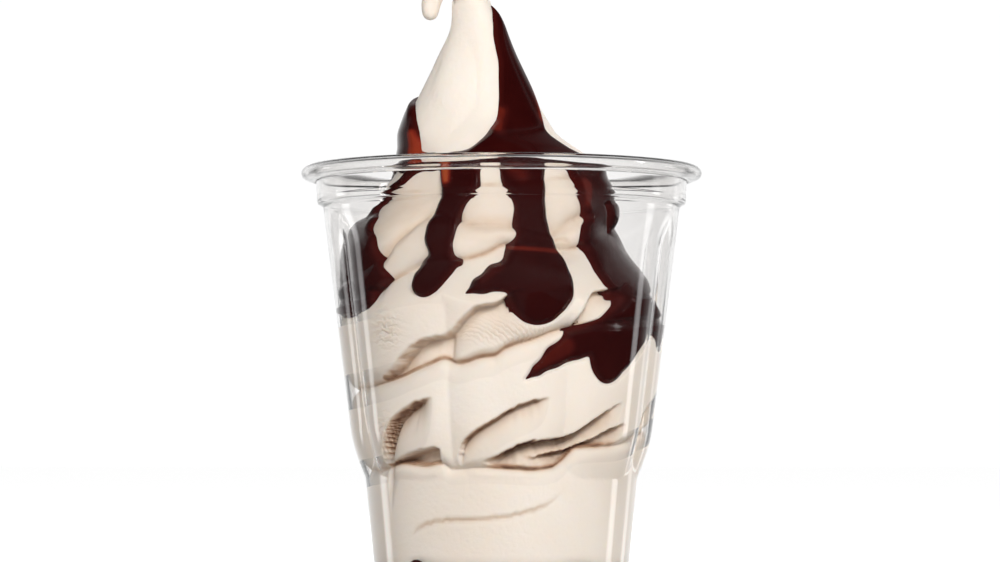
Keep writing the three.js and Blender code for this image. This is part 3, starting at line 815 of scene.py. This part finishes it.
def sauce_lift(phi, z):
    """How proud of the ice cream the sauce's face stands, with a rounded edge."""
    s = inside_sauce(phi, z)
    t = np.clip(s / SAUCE_EDGE, 0.0, 1.0)
    return np.where(s > 0, SAUCE_THICK * (1 - (1 - t) ** 2), np.maximum(2.0 * s, -1.6))


def on_sauce(phi, at):
    """Points of the sauce's face, which bridges the folds of the ice cream below it."""
    z = sauce_rise(at)
    lift = sauce_lift(phi, z)
    points = on_ice(phi, z, lift, 0.3)
    # held back by the wall where it meets it
    most = cup_outside(phi, np.minimum(z, FLUTED_TOP)) - WALL + REACH_INTO_WALL
    radius = np.hypot(points[:, 0], points[:, 1])
    scale = np.where((z < FLUTED_TOP) & (radius > most), most / radius, 1.0)
    points[:, 0] *= scale
    points[:, 1] *= scale
    return points


def outside_sauce(phi, at):
    """True past the sauce's outline, where the sheet is cut away."""
    return inside_sauce(phi, sauce_rise(at)) < -1.0


def thicken_inwards(piece, depth):
    """Closes an open skin that lies on the ice cream by a second skin below it."""
    bm = bmesh.new()
    bm.from_mesh(piece.data)
    skin = bmesh.ops.extrude_face_region(bm, geom=list(bm.faces), use_keep_orig=True)
    for v in skin["geom"]:
        if isinstance(v, bmesh.types.BMVert):
            axis = float(follow(LEAN, v.co.z / MM)) * MM
            reach = math.hypot(v.co.x - axis, v.co.y)
            keep = (reach - depth * MM) / reach
            v.co.x = axis + (v.co.x - axis) * keep
            v.co.y *= keep
    bmesh.ops.recalc_face_normals(bm, faces=bm.faces)
    bm.to_mesh(piece.data)
    bm.free()
    for face in piece.data.polygons:
        face.use_smooth = True


# where the sauce is thin and red light comes through: run, share
THIN = [
    ([(-26, 104.5, 1.4), (-24.5, 100.6, 0.9)], 0.72),
    ([(-50, 112, 1.2), (-48, 107.5, 2.4)], 0.55),
    ([(10, 103.0, 1.5), (14, 101.5, 1.2)], 0.25),
    ([(11, 84.6, 0.5), (22, 84.3, 0.5), (36, 83.8, 0.7)], 0.35),
    ([(4, 80.4, 0.8), (-4, 77.4, 0.8)], 0.2),
    ([(72, 124, 1.5), (60, 116, 2.2)], 0.45),
    ([(14, 113.6, 1.5), (20, 117.5, 1.2)], 0.35),
    ([(12, 57.4, 1.0), (24, 62, 2.0)], 0.25),
    ([(52, 100, 2.0), (50, 96, 1.2)], 0.3),
]


def thin_share(phi, z):
    """How thin the sauce is in the stretches above, from 0 to 1."""
    share = np.zeros(np.broadcast(phi, z).shape)
    for run, amount in THIN:
        for inside, stretch in zip(run_inside(phi, z, run), run):
            share = np.maximum(share, amount * ease(-stretch[2] * 0.9, stretch[2] * 0.6, inside))
    return share


def thin(phi, at):
    """Where light comes through the sauce: the stretches in THIN, and a little at every edge."""
    z = sauce_rise(at)
    edge = 0.22 * (1.0 - ease(0.0, 0.9, inside_sauce(phi, z)))
    return np.maximum(thin_share(phi, z), edge)


def chocolate():
    """Dark glossy sauce that turns red where it is thin."""
    mat = bpy.data.materials.new("chocolate")
    mat.use_nodes = True
    nodes, links = mat.node_tree.nodes, mat.node_tree.links
    sauce = nodes["Principled BSDF"]
    sauce.inputs["IOR"].default_value = 1.42
    sauce.inputs["Specular IOR Level"].default_value = 0.18
    place = nodes.new("ShaderNodeTexCoord")
    cloud = nodes.new("ShaderNodeTexNoise")
    cloud.inputs["Scale"].default_value = 90.0
    cloud.inputs["Detail"].default_value = 3.0
    links.new(place.outputs["Object"], cloud.inputs["Vector"])
    mark = nodes.new("ShaderNodeAttribute")
    mark.attribute_name = "thin"
    # the share of light that comes through, a little clouded
    share = nodes.new("ShaderNodeMath")
    share.operation = "MULTIPLY_ADD"
    share.inputs[1].default_value = 0.16
    links.new(cloud.outputs[0], share.inputs[0])
    links.new(mark.outputs["Fac"], share.inputs[2])
    red = nodes.new("ShaderNodeValToRGB")
    red.color_ramp.elements[0].position = 0.05
    red.color_ramp.elements[0].color = (0.022, 0.0021, 0.0020, 1.0)
    red.color_ramp.elements[1].position = 1.0
    red.color_ramp.elements[1].color = (0.52, 0.115, 0.035, 1.0)
    for spot, colour in ((0.3, (0.046, 0.0050, 0.0040)), (0.6, (0.19, 0.020, 0.010))):
        red.color_ramp.elements.new(spot).color = (*colour, 1.0)
    links.new(share.outputs[0], red.inputs[0])
    links.new(red.outputs[0], sauce.inputs["Base Color"])
    rough = nodes.new("ShaderNodeMapRange")
    rough.inputs["To Min"].default_value = 0.13
    rough.inputs["To Max"].default_value = 0.22
    links.new(cloud.outputs[0], rough.inputs["Value"])
    links.new(rough.outputs[0], sauce.inputs["Roughness"])
    ripple = nodes.new("ShaderNodeBump")
    ripple.inputs["Strength"].default_value = 0.05
    ripple.inputs["Distance"].default_value = 0.001
    links.new(cloud.outputs[0], ripple.inputs["Height"])
    links.new(ripple.outputs["Normal"], sauce.inputs["Normal"])
    return mat


poured = wound_piece("poured_sauce", 344, len(SAUCE_RISES) - 1, on_sauce, outside_sauce, thin=thin)
thicken_inwards(poured, 1.2)
poured.data.materials.append(chocolate())
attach(poured, "root")
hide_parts("chocolate_sauce")

# ---------------------------------------------------------------------------------------------
# Lower sauce: the same sauce put into the cup first, a shallow layer under the ice cream whose
# top climbs the wall in low tongues.
# ---------------------------------------------------------------------------------------------
POOL_ROWS = 8
POOL_FLOOR = 3.05
POOL_FLOOR_RADIUS = 26.6
POOL_CORNER = 3.9


def on_pool(phi, at):
    """Points of the lower sauce: its floor, its side along the wall and its top."""
    row = np.rint(at * (3 * POOL_ROWS - 1)).astype(int)
    part = row // POOL_ROWS
    t = (row % POOL_ROWS) / (POOL_ROWS - 1)
    a = np.radians(phi)
    floor_r = t * POOL_FLOOR_RADIUS
    floor_z = np.full(len(t), POOL_FLOOR)
    edge = pool_top(phi, 1.0)
    wall_z = POOL_CORNER + (edge - POOL_CORNER) * t
    wall_r = cup_outside(phi, wall_z) - WALL + REACH_INTO_WALL - 0.9 * (1 - t) ** 3
    top_z = pool_top(phi, 1 - t)
    top_r = (1 - t) * (cup_outside(phi, top_z) - WALL + REACH_INTO_WALL)
    r = np.select([part == 0, part == 1], [floor_r, wall_r], top_r)
    z = np.select([part == 0, part == 1], [floor_z, wall_z], top_z)
    return np.stack([r * np.sin(a), -r * np.cos(a), z], -1)


lower = wound_piece("lower_sauce", 240, 3 * POOL_ROWS - 1, on_pool)
lower.data.materials.append(poured.data.materials[0])
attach(lower, "root")
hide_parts("base_sauce")

# ---------------------------------------------------------------------------------------------
# Stage: a plain pale floor and backdrop, broad soft lights at both sides, and a long lens a
# little under half the cup's height, as in the photograph.
# ---------------------------------------------------------------------------------------------
scene = bpy.context.scene
scene.view_settings.view_transform = "Standard"
scene.view_settings.look = "None"
# light reaches what is in the cup through the plastic's shadow rays alone, so it counts once
scene.cycles.caustics_reflective = False
scene.cycles.caustics_refractive = False

# just past white, so that the backdrop leaves no edge in the picture
WHITE = 1.02
FLOOR_RADIUS = 6.0
AIM_HEIGHT = 0.075


def sight(tree):
    """Two masks. The first is 1 for what the camera sees, also through clear plastic. The second
    is 1 for light that reaches the object, and 0 for mirror images seen through the plastic."""
    path = tree.nodes.new("ShaderNodeLightPath")

    def math_node(operation, first, second):
        node = tree.nodes.new("ShaderNodeMath")
        node.operation = operation
        for socket, value in zip(node.inputs, (first, second)):
            if isinstance(value, float):
                socket.default_value = value
            else:
                tree.links.new(value, socket)
        return node.outputs[0]

    straight = math_node("MAXIMUM", path.outputs["Is Camera Ray"], path.outputs["Is Transmission Ray"])
    bounces = math_node("ADD", path.outputs["Diffuse Depth"], path.outputs["Glossy Depth"])
    seen = math_node("MULTIPLY", straight, math_node("LESS_THAN", bounces, 0.5))
    return seen, math_node("SUBTRACT", 1.0, straight)


def blend(tree, share, low, high):
    """The socket of a value that goes from low to high as share goes from 0 to 1."""
    node = tree.nodes.new("ShaderNodeMapRange")
    node.inputs["To Min"].default_value = low
    node.inputs["To Max"].default_value = high
    tree.links.new(share, node.inputs["Value"])
    return node.outputs[0]


def total(tree, first, second, operation="ADD"):
    """The socket of a sum, or of another operation, of two sockets."""
    node = tree.nodes.new("ShaderNodeMath")
    node.operation = operation
    tree.links.new(first, node.inputs[0])
    tree.links.new(second, node.inputs[1])
    return node.outputs[0]


# a white room behind the sundae that falls off to a dim one on the camera's side
world = bpy.data.worlds.new("studio")
scene.world = world
world.use_nodes = True
tree = world.node_tree
seen, lit = sight(tree)
way = tree.nodes.new("ShaderNodeTexCoord")
parts = tree.nodes.new("ShaderNodeSeparateXYZ")
tree.links.new(way.outputs["Generated"], parts.inputs[0])
room = tree.nodes.new("ShaderNodeMapRange")
room.interpolation_type = "SMOOTHSTEP"
for socket, value in (("From Min", 0.4), ("From Max", 1.0), ("To Min", 0.02), ("To Max", 1.1)):
    room.inputs[socket].default_value = value
tree.links.new(parts.outputs["Y"], room.inputs["Value"])
# tall soft windows at both sides, by the angle from the camera's side in degrees
front = tree.nodes.new("ShaderNodeMath")
front.operation = "MULTIPLY"
front.inputs[1].default_value = -1.0
tree.links.new(parts.outputs["Y"], front.inputs[0])
turn = total(tree, parts.outputs["X"], front.outputs[0], "ARCTAN2")
round_about = tree.nodes.new("ShaderNodeMapRange")
round_about.inputs["From Min"].default_value = -math.pi
round_about.inputs["From Max"].default_value = math.pi
tree.links.new(turn, round_about.inputs["Value"])
windows = tree.nodes.new("ShaderNodeValToRGB")
ramp = windows.color_ramp
ramp.elements[0].color = ramp.elements[1].color = (0.0, 0.0, 0.0, 1.0)
left_window = ((-127, 0), (-123, 1), (-117, 1), (-113, 0))
right_window = ((107, 0), (110, 1), (115, 1), (118, 0))
far_window = ((134, 0), (138, 0.5), (142, 0.5), (146, 0))
for angle, glow in left_window + right_window + far_window:
    ramp.elements.new((angle + 180.0) / 360.0).color = (glow, glow, glow, 1.0)
tree.links.new(round_about.outputs[0], windows.inputs[0])
sill = tree.nodes.new("ShaderNodeMapRange")
sill.interpolation_type = "SMOOTHSTEP"
sill.inputs["From Min"].default_value = -0.25
sill.inputs["From Max"].default_value = -0.19
sill.inputs["To Max"].default_value = 3.2
tree.links.new(parts.outputs["Z"], sill.inputs["Value"])
head = tree.nodes.new("ShaderNodeMapRange")
head.interpolation_type = "SMOOTHSTEP"
for socket, value in (("From Min", -0.12), ("From Max", -0.02), ("To Min", 1.0), ("To Max", 0.14)):
    head.inputs[socket].default_value = value
tree.links.new(parts.outputs["Z"], head.inputs["Value"])
panes = total(tree, sill.outputs[0], head.outputs[0], "MULTIPLY")
panes = total(tree, windows.outputs[0], panes, "MULTIPLY")
ceiling = tree.nodes.new("ShaderNodeMapRange")
ceiling.interpolation_type = "SMOOTHSTEP"
for socket, value in (("From Min", 0.2), ("From Max", 0.9), ("To Min", 1.0), ("To Max", 0.35)):
    ceiling.inputs[socket].default_value = value
tree.links.new(parts.outputs["Z"], ceiling.inputs["Value"])
walls = total(tree, room.outputs[0], ceiling.outputs[0], "MULTIPLY")
walls = total(tree, walls, blend(tree, lit, 0.75, 1.0), "MULTIPLY")
light = total(tree, total(tree, walls, panes), blend(tree, seen, 1.0, 0.0), "MULTIPLY")
# the rolled rim passes light on from wall to wall, so it stays pale
path = tree.nodes.new("ShaderNodeLightPath")
again = tree.nodes.new("ShaderNodeMath")
again.operation = "GREATER_THAN"
again.inputs[1].default_value = 1.5
tree.links.new(path.outputs["Glossy Depth"], again.inputs[0])
light = total(tree, light, blend(tree, again.outputs[0], 0.0, 0.6))
strength = total(tree, blend(tree, seen, 0.0, WHITE), light)
back = tree.nodes["Background"]
back.inputs["Color"].default_value = (1.0, 1.0, 1.0, 1.0)
tree.links.new(strength, back.inputs["Strength"])

bm = bmesh.new()
bmesh.ops.create_circle(bm, cap_ends=True, segments=96, radius=FLOOR_RADIUS)
floor_mesh = bpy.data.meshes.new("floor")
bm.to_mesh(floor_mesh)
bm.free()
floor = bpy.data.objects.new("floor", floor_mesh)
scene.collection.objects.link(floor)
floor.visible_glossy = False
paper = bpy.data.materials.new("white_paper")
paper.use_nodes = True
sheet = paper.node_tree.nodes["Principled BSDF"]
seen, lit = sight(paper.node_tree)
bounce = blend(paper.node_tree, total(paper.node_tree, seen, lit), 0.06, 0.6)
paper.node_tree.links.new(bounce, sheet.inputs["Base Color"])
sheet.inputs["Roughness"].default_value = 0.9
sheet.inputs["Specular IOR Level"].default_value = 0.0
sheet.inputs["Emission Color"].default_value = (1.0, 1.0, 1.0, 1.0)
paper.node_tree.links.new(blend(paper.node_tree, seen, 0.0, 0.92), sheet.inputs["Emission Strength"])
floor_mesh.materials.append(paper)


def soft_light(name, place, size, power, glint=False):
    """A rectangular soft box turned towards the middle of the sundae. Most only fill in: what
    shines on the sauce and the cup are the windows, and one narrow glint."""
    data = bpy.data.lights.new(name, "AREA")
    data.shape = "RECTANGLE"
    data.size, data.size_y = size
    data.energy = power
    lamp = bpy.data.objects.new(name, data)
    lamp.location = place
    away = Vector(place) - Vector((0.0, 0.0, AIM_HEIGHT))
    lamp.rotation_euler = away.to_track_quat("Z", "Y").to_euler()
    lamp.visible_glossy = glint
    lamp.visible_transmission = glint
    scene.collection.objects.link(lamp)


soft_light("front_box", (0.2, -0.97, 0.58), (0.45, 0.35), 10.2)
soft_light("right_fill", (0.9, -0.6, 0.3), (0.9, 0.9), 2.4)
soft_light("left_fill", (-0.85, -0.7, 0.3), (0.9, 0.9), 4.2)
soft_light("glint", (0.95, -0.04, 0.42), (0.05, 0.3), 0.9, glint=True)
soft_light("back_fill", (0.25, 1.0, 0.6), (0.8, 0.6), 9.0)

EYE_HEIGHT = 0.0396
EYE_SIDE = -0.00035
DISTANCE = 0.880
# in the photograph's pixels
PICTURE_WIDTH = 1000.0
MIDDLE_ROW = 281.0
HORIZON_ROW = 445.0
FOCAL_PX = 3722.0
lens = bpy.data.cameras.new("camera")
lens.sensor_width = 36.0
lens.lens = FOCAL_PX * lens.sensor_width / PICTURE_WIDTH
lens.clip_start = 0.01
lens.clip_end = 50.0
camera = bpy.data.objects.new("camera", lens)
camera.location = (EYE_SIDE, -DISTANCE, EYE_HEIGHT)
tilt = math.atan((HORIZON_ROW - MIDDLE_ROW) / FOCAL_PX)
camera.rotation_euler = Euler((math.radians(90.0) + tilt, 0.0, 0.0))
scene.collection.objects.link(camera)
scene.camera = camera
